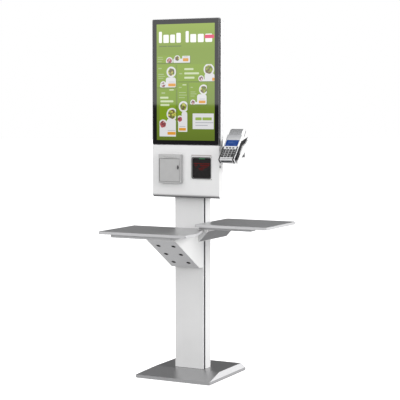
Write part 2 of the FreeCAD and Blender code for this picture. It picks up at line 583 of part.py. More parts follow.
# ---------------------------------------------------------------- side lock
node("side_lock_barrel", cut(
    fuse(rod("X", 178, "lock_deep", "lock_high", "barrel_radius", f"{WIDE} - 177"),
         rod("X", f"{WIDE} + 0.3", "lock_deep", "lock_high", "barrel_radius + 1.5", 1.4)),
    rod("X", 170, "lock_deep", "lock_high", "plug_radius + pin_play", 40)))
node("side_lock_plug", cut(
    fuse(rod("X", 174, "lock_deep", "lock_high", "plug_radius", f"{WIDE} - 171.8"),
         box(171, 174.5, "lock_deep - 4", "lock_deep + 4", "lock_high - 24", "lock_high + 4")),
    box(f"{WIDE} - 4", f"{WIDE} + 5", "lock_deep - 0.6", "lock_deep + 0.6", "lock_high - 2.8",
        "lock_high + 2.8")))

# ---------------------------------------------------------------- power inlet
inlet = fuse(box(-14, 14, "column_back - 26", "column_back + 0.5", 98, 122),
             slab(-18, 18, "column_back + 0.3", "column_back + 3", 94, 126, "y", 3))
node("power_inlet", fuse(
    cut(inlet, slab(-11, 11, "column_back - 15", "column_back + 4", 102, 118, "y", 2)),
    *[box(x - 1, x + 1, "column_back - 16", "column_back - 5", z - 2, z + 2)
      for x, z in ((-7, 108), (0, 112), (7, 108))]))

# ---------------------------------------------------------------- payment terminal's arm and stand
HUB = rod("Z", "terminal_x", "swivel_y", "arm_top - 4", 26, 6)
arm = fuse(box(f"{WIDE} + 0.3", f"{WIDE} + 4.3", -62, -25, "arm_top - 4", "arm_top + 55"),
           box(f"{WIDE} + 0.3", "terminal_x", "swivel_y - 18", "swivel_y + 5", "arm_top - 4", "arm_top"), HUB)
node("terminal_arm", cut(
    arm, rod("Z", "terminal_x", "swivel_y", "arm_top - 10", "bolt_radius + bolt_play", 20)))

STAND_LOW = "arm_top + 2.4"
STAND_LEFT, STAND_RIGHT = "terminal_x - stand_half", "terminal_x + stand_half"
LEAN = "tan(terminal_tilt * 1 deg)"
# the line of the stand's sloping face, given as y at a height above the terminal's lower front edge
FACE_START = "terminal_y + (back_low + 4) / cos(terminal_tilt * 1 deg)"


def face_y(height):
    return f"{FACE_START} + (({height}) - terminal_z) * {LEAN}"


STAND_TOP, CREST_Y, CREST = 1205, 11, 1220.5
wedge = [(face_y(f"{STAND_LOW} + 3"), f"{STAND_LOW} + 3"), (face_y(f"{STAND_LOW} + 3"), STAND_LOW),
         ("stand_back", STAND_LOW), ("stand_back", CREST + 19.5), (CREST_Y, CREST),
         (face_y(STAND_TOP), STAND_TOP)]
inner_wedge = [(face_y(f"{STAND_LOW} + 3") + " + 12", f"{STAND_LOW} + stand_wall"),
               ("stand_back + 1", f"{STAND_LOW} + stand_wall"), ("stand_back + 1", CREST + 16.5),
               (f"{CREST_Y} + 1", CREST - 3.2), (face_y(STAND_TOP) + " + 4", STAND_TOP - 3.2)]
window = [("swivel_y - 20", 1150), ("swivel_y + 22", 1150), ("swivel_y + 22", 1176)]
node("terminal_stand", cut(
    prism("YZ", STAND_LEFT, STAND_RIGHT, wedge),
    prism("YZ", f"{STAND_LEFT} + stand_wall", f"{STAND_RIGHT} - stand_wall", inner_wedge),
    prism("YZ", f"{STAND_LEFT} - 1", f"{STAND_RIGHT} + 1", window),
    rod("Z", "terminal_x", "swivel_y", f"{STAND_LOW} - 1", "bolt_radius + 0.06", 8)))


# ---------------------------------------------------------------- payment terminal, in its own frame
def leaning(obj):
    """Put a piece drawn in the terminal's frame where the terminal is."""
    obj.Placement = FreeCAD.Placement(V(), FreeCAD.Rotation(V(1, 0, 0), -number("terminal_tilt")))
    return bind(obj, Placement__Rotation__Angle="-terminal_tilt", Placement__Base__x="terminal_x",
                Placement__Base__y="terminal_y", Placement__Base__z="terminal_z")


TH = "terminal_width / 2"
CAP_LOW = "terminal_long - cap_long"
PIN_D, PIN_A = 16, "terminal_long - 5"
node("terminal_cradle", leaning(fuse(
    box(f"-{TH} + 2", f"{TH} - 2", "back_low + 0.5", "back_low + 3.6", 6, 100),
    box(f"-{TH} - 3", f"2.5 - {TH}", "back_low + 0.5", "back_low + 3.6", 20, 60),
    box(f"{TH} - 2.5", f"{TH} + 3", "back_low + 0.5", "back_low + 3.6", 20, 60),
    box(f"-{TH} - 3", f"-{TH} - 0.5", 14, "back_low + 3.6", 20, 60),
    box(f"{TH} + 0.5", f"{TH} + 3", 14, "back_low + 3.6", 20, 60))))

lower_form = prism("YZ", f"-{TH}", TH, [
    ("skin + 0.2", 0.2), ("back_low", 0.2), ("back_mid + 1", 110), ("back_high - 2", 150),
    ("back_high", "terminal_long - 20"), ("back_high - 12", "terminal_long"),
    ("cap_deep + 1.3", "terminal_long"), ("cap_deep + 1.3", CAP_LOW), ("skin + 0.2", f"{CAP_LOW} - 0.3")])
lower_hollow = prism("YZ", f"2.5 - {TH}", f"{TH} - 2.5", [
    ("skin - 1", 3), ("back_low - 2.5", 3), ("back_mid - 1.5", 111), ("back_high - 4.5", 152),
    ("back_high - 3", "terminal_long - 21"), ("back_high - 14", "terminal_long - 3"),
    ("cap_deep - 1", "terminal_long - 3"), ("cap_deep - 1", f"{CAP_LOW} - 3"),
    ("skin - 1", f"{CAP_LOW} - 3.2")])
ears = []
for side in (-1, 1):
    low, high = (f"-{TH}", f"3.6 - {TH}") if side < 0 else (f"{TH} - 3.6", TH)
    ears += [rod("X", low, PIN_D, PIN_A, 5, 3.6), box(low, high, PIN_D, "cap_deep + 2", f"{PIN_A} - 5",
                                                       f"{PIN_A} + 5")]
base_cut = cut(fuse(cut(lower_form, lower_hollow), *ears),
               rod("X", f"-{TH} - 1", PIN_D, PIN_A, "pin_radius + pin_play", "terminal_width + 2"),
               box("-card_half - 0.5", "card_half + 0.5", 11.5, 17.5, -1, 5))
node("terminal_base_shell", leaning(base_cut))

def key_centre(row, column):
    return f"({column} - 1.5) * key_pitch", f"key_first + {row} * row_pitch"


key_names = {}
for row, labels in enumerate([["cancel", "0", "clear", "enter"], ["7", "8", "9", None],
                              ["4", "5", "6", "up"], ["1", "2", "3", "menu"]]):
    for column, label in enumerate(labels):
        if label:
            key_names[label] = (row, column)


def key_box(label, grow, near, far, corner):
    """A key, or with grow the hole it moves in; enter is two rows tall."""
    row, column = key_names[label]
    x, a = key_centre(row, column)
    tall = "row_pitch" if label == "enter" else 0
    return slab(f"{x} - key_wide / 2 - {grow}", f"{x} + key_wide / 2 + {grow}", near, far,
                f"{a} - key_tall / 2 - {grow}", f"{a} + key_tall / 2 + {grow} + {tall}", "y", corner)


skin_plate = rounded(box(f"-{TH}", TH, 0, "skin", 0, f"{CAP_LOW} - 0.4"), "skin_round",
                     lambda middle, direction: middle.y < 0.1 and abs(direction.z) > 0.9)
end_cap = rounded(box(f"-{TH}", TH, 0, "back_low - 2", "-end_cap", 0.1), "skin_round",
                  lambda middle, direction: middle.y < 0.1 and (middle.z < -1 or abs(direction.z) > 0.9))
SOFT = [f"({i} - 1) * key_pitch" for i in range(3)]
node("terminal_top_shell", leaning(cut(
    fuse(skin_plate, end_cap),
    box("-card_half", "card_half", 12, 17, "-end_cap - 1", 1),
    slab("-screen_half - 0.4", "screen_half + 0.4", -1, 2.2, "screen_low - 0.4", "screen_high + 0.4", "y", 2),
    *[box(f"{x} - 5.6", f"{x} + 5.6", -1, 3.2, 66.5, 73.7) for x in SOFT],
    *[key_box(label, "key_play", -1, "skin + 1", 1.4) for label in key_names])))
node("terminal_display", leaning(slab("-screen_half", "screen_half", 0.4, 1.9, "screen_low", "screen_high",
                                      "y", 1.6)))
node("terminal_soft_keys", leaning(group(*[slab(f"{x} - 5.2", f"{x} + 5.2", -1.2, 2.9, 66.9, 73.3, "y", 1)
                                           for x in SOFT])))
for label in key_names:
    node(f"key_{label}", leaning(key_box(label, 0, "-key_proud", "skin - 0.4", 1.2)))

cap_form = prism("YZ", f"4 - {TH}", f"{TH} - 4", [
    (0, CAP_LOW), ("cap_deep", f"{CAP_LOW} + 0.9"), ("cap_deep", f"{PIN_A} - 4"), (PIN_D, f"{PIN_A} - 4"),
    (PIN_D, "terminal_long"), (0, "terminal_long")])
cap_sides = rounded(cap_form, 7, lambda middle, direction: middle.y < 0.1 and abs(direction.z) > 0.9)
cap_round = rounded(cap_sides, 14, lambda middle, direction: middle.y < 0.1
                    and middle.z > number("terminal_long") - 0.1 and abs(direction.x) > 0.9)
node("terminal_paper_cover", leaning(cut(
    fuse(cap_round, rod("X", f"4 - {TH}", PIN_D, PIN_A, 5, "terminal_width - 8")),
    prism("YZ", f"7 - {TH}", f"{TH} - 7", [
        (3, f"{CAP_LOW} + 3"), ("cap_deep + 1", f"{CAP_LOW} + 3"), ("cap_deep + 1", f"{CAP_LOW} + 32"),
        (3, f"{CAP_LOW} + 28")]),
    rod("X", f"-{TH}", PIN_D, PIN_A, "pin_radius + pin_play", "terminal_width"))))
node("terminal_cover_pin", leaning(group(rod("X", f"0.5 - {TH}", PIN_D, PIN_A, "pin_radius",
                                             "terminal_width - 1"))))

# ---------------------------------------------------------------- fasteners and hinge pins
node("frame_bolts", group(
    *[bolt("Z", x, y, "foot_top + 0.05", -1) for x, y in FOOT_BOLTS],
    *[bolt("Z", x, y, "head_bottom + 4.05", -1, 12) for x, y in HEAD_BOLTS],
    *[bolt("Y", x, WALL_IN + " - 0.05", z, 1, 18) for x, z in FRONT_BOLTS],
    *[bolt("X", f"{SIDE_IN} + bracket_wall + 0.05", y, z, -1, 11) for y, z in SIDE_BOLTS],
    bolt("Z", "terminal_x", "swivel_y", f"{STAND_LOW} + stand_wall + 0.4", -1, 12)))
node("hinge_pins", group(
    *[rod("Z", HINGE_X, HINGE_Y, low - 19, "pin_radius", high - low + 38) for low, high in KNUCKLES],
    rod("Z", PIN_X, PIN_Y, "print_door_top - 5.5", "pin_radius", 9.5),
    rod("Z", PIN_X, PIN_Y, f"{DOOR_LOW} - 3.5", "pin_radius", 9.5)))

# ---------------------------------------------------------------- checks, then one file for each sub-part
doc.recompute()
for obj in doc.Objects:
    if "Invalid" in obj.State or "Error" in obj.State:
        raise RuntimeError(f"{obj.Name} ({obj.Label}) failed: {obj.State}")
for obj in NODES:
    if obj.Shape.isNull() or not obj.Shape.isValid() or obj.Shape.Volume <= 0:
        raise RuntimeError(f"{obj.Label} has no valid shape")

os.makedirs("parts", exist_ok=True)
for obj in NODES:
    obj.Shape.exportStep(os.path.join("parts", obj.Label + ".step"))
    span = obj.Shape.BoundBox
    print(f"{obj.Label:24s} {len(obj.Shape.Solids):3d} solid(s)  {obj.Shape.Volume / 1000:9.1f} cm3  "
          f"z {span.ZMin:.1f} to {span.ZMax:.1f}")
print(len(NODES), "sub-parts")
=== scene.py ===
"""Looks for the self checkout kiosk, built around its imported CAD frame. Metres, +Z up, the customer at -Y."""
import json
import math

import bmesh
import bpy
from mathutils import Matrix, Vector


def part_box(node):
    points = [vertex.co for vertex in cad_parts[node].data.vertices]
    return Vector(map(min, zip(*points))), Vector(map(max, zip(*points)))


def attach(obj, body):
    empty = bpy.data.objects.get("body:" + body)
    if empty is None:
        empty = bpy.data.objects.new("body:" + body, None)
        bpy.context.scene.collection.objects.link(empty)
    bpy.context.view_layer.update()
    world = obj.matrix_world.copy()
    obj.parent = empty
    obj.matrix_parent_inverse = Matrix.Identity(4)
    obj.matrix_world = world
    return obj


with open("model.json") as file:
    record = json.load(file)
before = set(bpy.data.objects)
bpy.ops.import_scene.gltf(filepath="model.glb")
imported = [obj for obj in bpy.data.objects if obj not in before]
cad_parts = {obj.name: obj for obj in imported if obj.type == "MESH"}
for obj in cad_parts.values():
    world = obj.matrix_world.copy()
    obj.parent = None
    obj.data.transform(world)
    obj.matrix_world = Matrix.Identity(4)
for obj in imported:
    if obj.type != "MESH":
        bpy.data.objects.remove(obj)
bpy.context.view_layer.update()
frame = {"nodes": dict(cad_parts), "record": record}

MM = 0.001
NODES = frame["nodes"]
SCENE = bpy.context.scene


# ------------------------------------------------------------------ materials
class Shader:
    """A Principled material with helpers that add procedural detail in object space."""

    def __init__(self, name, color, rough, metallic=0.0, ior=1.5, alpha=1.0, coat=0.0, coat_rough=0.1,
                 spec=0.5, sheen=0.0):
        self.mat = bpy.data.materials.new(name)
        self.mat.use_nodes = True
        self.tree = self.mat.node_tree
        self.bsdf = self.tree.nodes["Principled BSDF"]
        self.color = color
        values = {"Base Color": (*color, 1), "Roughness": rough, "Metallic": metallic, "IOR": ior,
                  "Alpha": alpha, "Coat Weight": coat, "Coat Roughness": coat_rough,
                  "Specular IOR Level": spec, "Sheen Weight": sheen}
        for key, value in values.items():
            self.bsdf.inputs[key].default_value = value
        self.rough = rough
        self.normal = None

    def node(self, kind, **settings):
        made = self.tree.nodes.new(kind)
        for key, value in settings.items():
            if key in made.inputs:
                made.inputs[key].default_value = value
            else:
                setattr(made, key, value)
        return made

    def link(self, a, b):
        self.tree.links.new(a, b)

    def noise(self, size, detail=3.0, stretch=(1, 1, 1), offset=(0, 0, 0)):
        """Noise whose features are about size metres across, stretched along the axes."""
        coords = self.node("ShaderNodeTexCoord")
        mapping = self.node("ShaderNodeMapping")
        mapping.inputs["Scale"].default_value = [1 / (size * k) for k in stretch]
        mapping.inputs["Location"].default_value = offset
        tex = self.node("ShaderNodeTexNoise")
        tex.inputs["Scale"].default_value = 1.0
        tex.inputs["Detail"].default_value = detail
        self.link(coords.outputs["Object"], mapping.inputs["Vector"])
        self.link(mapping.outputs["Vector"], tex.inputs["Vector"])
        return tex.outputs["Fac"]

    def blend_color(self, fac, low, high, start=0.3, stop=0.7):
        ramp = self.node("ShaderNodeValToRGB")
        ramp.color_ramp.elements[0].position = start
        ramp.color_ramp.elements[1].position = stop
        ramp.color_ramp.elements[0].color = (*low, 1)
        ramp.color_ramp.elements[1].color = (*high, 1)
        self.link(fac, ramp.inputs["Fac"])
        return ramp.outputs["Color"]

    def ranged(self, fac, low, high):
        span = self.node("ShaderNodeMapRange")
        span.inputs["From Min"].default_value = 0.3
        span.inputs["From Max"].default_value = 0.7
        span.inputs["To Min"].default_value = low
        span.inputs["To Max"].default_value = high
        self.link(fac, span.inputs["Value"])
        return span.outputs["Result"]

    def mottled(self, size, amount, rough_swing=0.06, stretch=(1, 1, 1)):
        """Slow changes of colour and gloss, as dust, handling and uneven spray leave."""
        fac = self.noise(size, 4.0, stretch)
        low = [c * (1 - amount) for c in self.color]
        high = [min(1.0, c * (1 + amount)) for c in self.color]
        self.link(self.blend_color(fac, low, high), self.bsdf.inputs["Base Color"])
        rough = self.ranged(fac, max(0.0, self.rough - rough_swing), min(1.0, self.rough + rough_swing))
        self.link(rough, self.bsdf.inputs["Roughness"])
        return self

    def grained(self, size, height, stretch=(1, 1, 1), detail=2.0):
        """Fine relief, height metres deep."""
        bump = self.node("ShaderNodeBump")
        bump.inputs["Distance"].default_value = height
        bump.inputs["Strength"].default_value = 1.0
        self.link(self.noise(size, detail, stretch), bump.inputs["Height"])
        if self.normal is not None:
            self.link(self.normal, bump.inputs["Normal"])
        self.normal = bump.outputs["Normal"]
        self.link(self.normal, self.bsdf.inputs["Normal"])
        return self

    def eased(self, radius=0.0006):
        """Softly rounded edges on pressed and moulded pieces."""
        bevel = self.node("ShaderNodeBevel")
        bevel.samples = 4
        bevel.inputs["Radius"].default_value = radius
        self.normal = bevel.outputs["Normal"]
        self.link(self.normal, self.bsdf.inputs["Normal"])
        return self

    def flaked(self, size, amount):
        """Bright and dark specks of a metallic paint."""
        fac = self.noise(size, 1.0)
        low = [c * (1 - amount) for c in self.color]
        high = [min(1.0, c * (1 + amount)) for c in self.color]
        self.link(self.blend_color(fac, low, high, 0.42, 0.58), self.bsdf.inputs["Base Color"])
        return self

    def axis_mask(self, normal, start, stop, source="Object"):
        """0 to 1 as the point's distance along normal goes from start to stop, in metres.

        With source "Normal" it is the face's own direction that is compared.
        """
        coords = self.node("ShaderNodeTexCoord")
        dot = self.node("ShaderNodeVectorMath", operation="DOT_PRODUCT")
        dot.inputs[1].default_value = normal
        self.link(coords.outputs[source], dot.inputs[0])
        span = self.node("ShaderNodeMapRange")
        span.inputs["From Min"].default_value = start
        span.inputs["From Max"].default_value = stop
        self.link(dot.outputs["Value"], span.inputs["Value"])
        return span.outputs["Result"]

    def between(self, axis, low, high, blur=0.0002):
        """1 where the point's distance along axis lies between low and high."""
        return self.both(self.axis_mask(axis, low - blur, low + blur),
                         self.axis_mask(axis, high + blur, high - blur))

    def both(self, a, b, operation="MULTIPLY"):
        math_node = self.node("ShaderNodeMath", operation=operation)
        self.link(a, math_node.inputs[0])
        self.link(b, math_node.inputs[1])
        return math_node.outputs["Value"]

    def painted(self, mask, color, rough=None, metallic=None):
        """Another colour, gloss and metal share where mask is 1."""
        for socket, value in (("Base Color", (*color, 1)), ("Roughness", rough), ("Metallic", metallic)):
            if value is None:
                continue
            target = self.bsdf.inputs[socket]
            mix = self.node("ShaderNodeMix", data_type="RGBA" if socket == "Base Color" else "FLOAT")
            first, second, out = (6, 7, 2) if socket == "Base Color" else (2, 3, 0)
            if target.is_linked:
                self.link(target.links[0].from_socket, mix.inputs[first])
            else:
                mix.inputs[first].default_value = target.default_value
            mix.inputs[second].default_value = value
            self.link(mask, mix.inputs[0])
            self.link(mix.outputs[out], target)
        return self

    def glowing(self, color, strength):
        self.bsdf.inputs["Emission Color"].default_value = (*color, 1)
        self.bsdf.inputs["Emission Strength"].default_value = strength
        return self

    def glowing_by_height(self, stops, strength=1.0):
        """Emission that changes with height: stops are (z in metres, colour)."""
        coords = self.node("ShaderNodeTexCoord")
        split = self.node("ShaderNodeSeparateXYZ")
        span = self.node("ShaderNodeMapRange")
        low, high = stops[0][0], stops[-1][0]
        span.inputs["From Min"].default_value = low
        span.inputs["From Max"].default_value = high
        ramp = self.node("ShaderNodeValToRGB")
        elements = ramp.color_ramp.elements
        while len(elements) < len(stops):
            elements.new(0.5)
        for element, (z, color) in zip(elements, stops):
            element.position = (z - low) / (high - low)
            element.color = (*color, 1)
        self.link(coords.outputs["Object"], split.inputs["Vector"])
        self.link(split.outputs["Z"], span.inputs["Value"])
        self.link(span.outputs["Result"], ramp.inputs["Fac"])
        self.link(ramp.outputs["Color"], self.bsdf.inputs["Emission Color"])
        self.bsdf.inputs["Emission Strength"].default_value = strength
        return self


def powder_coat(name, color, rough, metallic=0.0, fleck=0.0, peel=0.00002):
    made = Shader(name, color, rough, metallic).eased(0.0008)
    made.mottled(0.12, 0.018, 0.04)
    if fleck:
        made.flaked(0.0007, fleck)
    return made.grained(0.0022, peel).mat


def moulded(name, color, rough, grain=0.00003, size=0.0007):
    return Shader(name, color, rough).eased(0.0006).mottled(0.03, 0.03, 0.05).grained(size, grain).mat


def brushed(name, color, rough, stretch, metallic=1.0):
    made = Shader(name, color, rough, metallic).eased(0.0005).mottled(0.004, 0.05, 0.07, stretch)
    return made.grained(0.0006, 0.000008, stretch).mat


def rubbery(name, color, rough=0.6):
    made = Shader(name, color, rough, sheen=0.1).eased(0.0008).mottled(0.006, 0.06)
    return made.grained(0.0004, 0.00002).mat


GLASS_IOR = 1.62


def screen_light(name, color, strength=1.0):
    """A lit part of the picture under the front glass, with the glass's own gloss."""
    made = Shader(name, (0.003, 0.003, 0.003), 0.03, ior=GLASS_IOR)
    made.mottled(0.02, 0.2, 0.008)
    return made.glowing(color, strength)


MATS = {
    "white_coat": powder_coat("white_coat_satin", (0.83, 0.83, 0.825), 0.42),
    "stand_coat": powder_coat("white_stand_satin", (0.88, 0.88, 0.875), 0.35),
    "dark_coat": powder_coat("dark_metallic_coat", (0.24, 0.24, 0.244), 0.45, 0.5, 0.10),
    "black_steel": powder_coat("black_plate_coat", (0.03, 0.03, 0.032), 0.6),
    "bezel_aluminium": brushed("bezel_anodised", (0.30, 0.30, 0.305), 0.34, (1, 1, 40)),
    "bare_aluminium": brushed("bare_aluminium_brushed", (0.72, 0.73, 0.74), 0.32, (40, 1, 1)),
    "panel_steel": brushed("panel_steel_satin", (0.46, 0.47, 0.48), 0.4, (1, 1, 30)),
    "printer_plastic": moulded("printer_light_grey", (0.50, 0.50, 0.495), 0.45),
    "latch_plastic": moulded("latch_dark_grey", (0.07, 0.07, 0.073), 0.35, 0.00001),
    "white_plastic": moulded("white_ring_plastic", (0.80, 0.80, 0.79), 0.3, 0.00001),
    "black_case": moulded("black_case_plastic", (0.022, 0.022, 0.024), 0.5),
    "scanner_block": moulded("scanner_block_plastic", (0.05, 0.05, 0.05), 0.5),
    "terminal_black": moulded("terminal_black_plastic", (0.016, 0.016, 0.018), 0.36, 0.00002),
    "terminal_silver": moulded("terminal_silver_paint", (0.40, 0.405, 0.415), 0.30, 0.00001, 0.0005),
    "roller_rubber": rubbery("platen_rubber", (0.03, 0.03, 0.03)),
    "number_key": rubbery("number_key_rubber", (0.010, 0.010, 0.011), 0.5),
    "soft_key": rubbery("soft_key_rubber", (0.012, 0.012, 0.013), 0.5),
    "paper": Shader("thermal_paper", (0.88, 0.88, 0.86), 0.65).mottled(0.01, 0.02)
        .grained(0.0003, 0.00001).mat,
    "lock_chrome": brushed("lock_chrome_polished", (0.72, 0.72, 0.73), 0.12, (1, 1, 1)),
    "lock_steel": brushed("lock_plug_steel", (0.40, 0.40, 0.41), 0.3, (1, 4, 1)),
    "pin_steel": brushed("pin_ground_steel", (0.55, 0.55, 0.56), 0.25, (1, 1, 10)),
    "zinc_steel": brushed("bolt_zinc", (0.60, 0.60, 0.59), 0.35, (1, 1, 1)),
    "screen_glass": Shader("border_glass", (0.004, 0.004, 0.0045), 0.03, ior=GLASS_IOR).eased(0.0012)
        .mottled(0.05, 0.1, 0.006).mat,
    "scanner_glass": Shader("scanner_dark_glass", (0.020, 0.018, 0.018), 0.10, ior=1.5)
        .mottled(0.012, 0.20, 0.03).mat,
    "display_window": Shader("terminal_window", (0.004, 0.008, 0.02), 0.2, ior=1.3, spec=0.2)
        .mottled(0.01, 0.1, 0.02).glowing((0.006, 0.042, 0.22), 1.0).mat,
}
# shelves: brushed metallic tops inside a light edge band
top = Shader("shelf_top_and_band", (0.48, 0.48, 0.485), 0.36, 0.72).eased(0.0008)
top.mottled(0.006, 0.05, 0.05, (0.05, 1, 1))
top.painted(top.axis_mask((0, 0, 1), 0.8, 0.7, "Normal"), (0.58, 0.58, 0.585), 0.45, 0.0)
MATS["shelf_coat"] = top.grained(0.0009, 0.000008, (0.1, 1, 1)).mat
core = Shader("shelf_core_laminate", (0.50, 0.50, 0.505), 0.5).eased(0.0006)
core.mottled(0.02, 0.04, 0.05)
MATS["board"] = core.grained(0.0015, 0.00002).mat
# base: metallic cover with lighter, matt edge faces; its sloping side bevels are painted near white as a
# painted reflection
base = Shader("base_metallic_coat", (0.45, 0.45, 0.455), 0.38, 0.97).eased(0.0008)
base.flaked(0.0007, 0.06)
# painted reflection: faces turned to either side are painted near white and matt
for side in (-1, 1):
    base.painted(base.axis_mask((side, 0, 0), 0.2, 0.3, "Normal"), (0.70, 0.70, 0.705), 0.4, 0.2)
base.painted(base.axis_mask((0, 0, 1), 0.35, 0.25, "Normal"), (0.36, 0.36, 0.365), 0.5, 0.0)
MATS["base_metal"] = base.grained(0.002, 0.00001).mat
# printer hood: light face, a darker body behind it and painted shade in the gap round the door
hood = Shader("printer_hood", (0.52, 0.52, 0.515), 0.42).eased(0.0008)
hood.mottled(0.03, 0.02, 0.04)
behind = hood.axis_mask((0, 1, 0), -0.0872, -0.0868)
hood.painted(behind, (0.36, 0.36, 0.36), 0.5)
# painted shade: the walls of the gap round the door are painted near black
inside = hood.both(hood.between((1, 0, 0), -0.1435, -0.021), hood.between((0, 0, 1), 1.0155, 1.1395))
hood.painted(hood.both(behind, inside), (0.02, 0.02, 0.02), 0.7)
MATS["printer_hood"] = hood.grained(0.0007, 0.00002).mat
MATS["bracket_grey"] = powder_coat("bracket_cover_coat", (0.56, 0.56, 0.565), 0.42, 0.35, 0.06)
# column: white, with painted shade lining the side grooves
column = Shader("column_coat", (0.84, 0.84, 0.835), 0.36).eased(0.0008)
column.mottled(0.12, 0.018, 0.04)
# painted shade: the side grooves are painted dark grey
groove_shade = column.both(column.between((0, 1, 0), -0.0175, 0.001),
                     column.axis_mask((0, 1, 0), 1.0, 0.9, "Normal"))
column.painted(groove_shade, (0.16, 0.16, 0.165), 0.6)
MATS["column_coat"] = column.grained(0.0022, 0.00002).mat
# the head's lower front: white, its folded lower lip in shade
tray = Shader("tray_coat", (0.87, 0.87, 0.865), 0.42).eased(0.0008)
tray.mottled(0.12, 0.018, 0.04)
tray.painted(tray.axis_mask((0, 0, -1), 0.15, 0.75, "Normal"), (0.14, 0.14, 0.145), 0.5)
MATS["tray_coat"] = tray.grained(0.0022, 0.00002).mat
NODE_MATS = {"printer_bezel": "printer_hood", "base_cover": "base_metal", "column_body": "column_coat",
             "front_bracket_cover": "bracket_grey", "lower_front_tray": "tray_coat"}
for entry in frame["record"]["subparts"]:
    NODES[entry["node"]].data.materials.clear()
    chosen = NODE_MATS.get(entry["node"], entry["material_slot"])
    NODES[entry["node"]].data.materials.append(MATS[chosen])


# ------------------------------------------------------------------ mesh helpers
def mesh_object(name, bm, material, body, smooth=False):
    mesh = bpy.data.meshes.new(name)
    bmesh.ops.recalc_face_normals(bm, faces=bm.faces)
    bm.to_mesh(mesh)
    bm.free()
    for face in mesh.polygons:
        face.use_smooth = smooth
    mesh.materials.append(material)
    obj = bpy.data.objects.new(name, mesh)
    SCENE.collection.objects.link(obj)
    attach(obj, body)
    return obj


def outline_rect(x0, x1, z0, z1, radius=0.0, steps=5):
    """A rectangle with rounded corners as (x, z) points."""
    radius = min(radius, (x1 - x0) / 2 - 1e-4, (z1 - z0) / 2 - 1e-4)
    if radius <= 0:
        return [(x0, z0), (x1, z0), (x1, z1), (x0, z1)]
    points = []
    for cx, cz, start in ((x1 - radius, z0 + radius, -90), (x1 - radius, z1 - radius, 0),
                          (x0 + radius, z1 - radius, 90), (x0 + radius, z0 + radius, 180)):
        for i in range(steps + 1):
            angle = math.radians(start + 90 * i / steps)
            points.append((cx + radius * math.cos(angle), cz + radius * math.sin(angle)))
    return points


def outline_disc(cx, cz, radius, bounds=None, steps=40, wobble=0.0):
    """A disc, or what of it lies inside bounds (x0, x1, z0, z1)."""
    points = []
    for i in range(steps):
        angle = 2 * math.pi * i / steps
        r = radius * (1 + wobble * math.sin(5 * angle + cx))
        x, z = cx + r * math.cos(angle), cz + r * math.sin(angle)
        if bounds:
            x = min(max(x, bounds[0]), bounds[1])
            z = min(max(z, bounds[2]), bounds[3])
        points.append((x, z))
    kept = []
    for p in points:
        if not kept or math.dist(p, kept[-1]) > 0.05:
            kept.append(p)
    if len(kept) > 3 and math.dist(kept[0], kept[-1]) < 0.05:
        kept.pop()
    return kept


def add_plate(bm, points, to_world, near, far):
    """A flat plate with the outline points (mm); to_world maps (across, depth, up) in mm to metres."""
    front = [bm.verts.new(to_world(a, near, b)) for a, b in points]
    back = [bm.verts.new(to_world(a, far, b)) for a, b in points]
    bm.faces.new(front)
    bm.faces.new(list(reversed(back)))
    for i in range(len(points)):
        following = (i + 1) % len(points)
        bm.faces.new((front[i], back[i], back[following], front[following]))


def add_ring(bm, outer, inner, to_world, near, far):
    """A flat ring between two outlines with the same number of points."""
    loops = [[bm.verts.new(to_world(a, depth, b)) for a, b in points]
             for points, depth in ((outer, near), (inner, near), (inner, far), (outer, far))]
    for first, second in zip(loops, loops[1:] + loops[:1]):
        for i in range(len(outer)):
            j = (i + 1) % len(outer)
            bm.faces.new((first[i], first[j], second[j], second[i]))


def kiosk_point(x, y, z):
    return Vector((x * MM, y * MM, z * MM))


TILT = math.radians(42)
TERMINAL = Vector((0.262, -0.125, 1.147))


def terminal_point(x, depth, along):
    y = depth * math.cos(TILT) + along * math.sin(TILT)
    z = -depth * math.sin(TILT) + along * math.cos(TILT)
    return TERMINAL + Vector((x, y, z)) * MM


TERMINAL_TURN = Matrix.Rotation(-TILT, 4, "X")

# ------------------------------------------------------------------ the picture on the main display
PANEL_X, PANEL_Z, PANEL_Y = -168.0, 1233.0, -66.0
LAYER = {"count": 0}


def picture(name, material, shapes, thick=0.02):
    """Shapes in the picture's own millimetres (across, up), each one a little nearer the customer."""
    bm = bmesh.new()
    for points in shapes:
        LAYER["count"] += 1
        near = PANEL_Y - 0.02 - 0.006 * LAYER["count"]
        shifted = [(PANEL_X + a, PANEL_Z + b) for a, b in points]
        add_plate(bm, shifted, kiosk_point, near, near + thick)
    return mesh_object(name, bm, material, "kiosk")


def leafy(name, ring, greens, accents, size):
    """A salad in a bowl: lobes of two greens with spots of a third colour."""
    made = Shader(name, (0.003, 0.003, 0.003), 0.03, ior=GLASS_IOR)
    coords = made.node("ShaderNodeTexCoord")
    cells = made.node("ShaderNodeTexVoronoi")
    cells.inputs["Scale"].default_value = 1 / size
    made.link(coords.outputs["Object"], cells.inputs["Vector"])
    ramp = made.node("ShaderNodeValToRGB")
    made.link(cells.outputs["Color"], ramp.inputs["Fac"])
    ramp.color_ramp.interpolation = "CONSTANT"
    colors = greens + accents
    while len(ramp.color_ramp.elements) < len(colors):
        ramp.color_ramp.elements.new(0.5)
    for i, (element, color) in enumerate(zip(ramp.color_ramp.elements, colors)):
        element.position = 0.25 + 0.5 * i / len(colors)
        element.color = (*color, 1)
    made.link(ramp.outputs["Color"], made.bsdf.inputs["Emission Color"])
    made.bsdf.inputs["Emission Strength"].default_value = ring
    return made.mat


